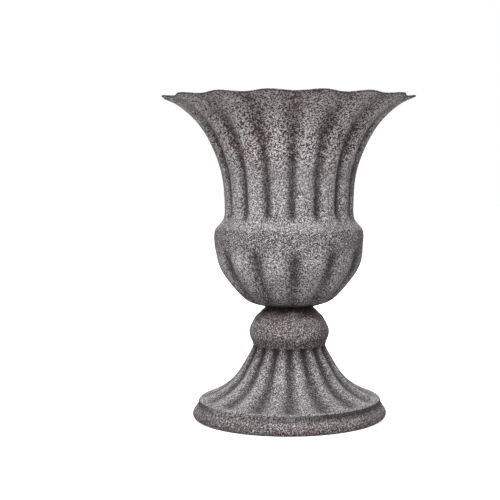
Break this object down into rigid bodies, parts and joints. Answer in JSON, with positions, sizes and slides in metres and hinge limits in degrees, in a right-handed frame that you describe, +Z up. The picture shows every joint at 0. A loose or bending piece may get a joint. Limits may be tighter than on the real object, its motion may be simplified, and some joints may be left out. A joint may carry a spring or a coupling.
{
  "type": "cemetery vase",
  "caption": "Small pressed-iron urn vase: fluted flared bell with scalloped rim, lobed bowl and knobbed, fluted round pedestal foot, held by one screw, in speckled stone-look paint.",
  "frame": {"origin": "centre of the round base, on the plane of the floor", "axes": "+Z is up along the vase's axis, -Y is the side the picture shows and +X is to its right"},
  "size_m": [0.125, 0.125, 0.16],
  "materials": {
    "stone_look_paint": "matt grainy speckle of dark brown-grey and pale grey flecks",
    "zinc_plated_steel": "dull zinc plating",
    "black_rubber": "matt moulded rubber"
  },
  "bodies": {
    "root": {"flared_bell": "stone_look_paint", "bowl": "stone_look_paint", "pedestal_foot": "stone_look_paint", "clamp_screw": "zinc_plated_steel", "head_washer": "zinc_plated_steel", "seal_washer": "black_rubber", "nut_washer": "zinc_plated_steel", "lock_washer": "zinc_plated_steel", "hex_nut": "zinc_plated_steel"}
  },
  "joints": []
}
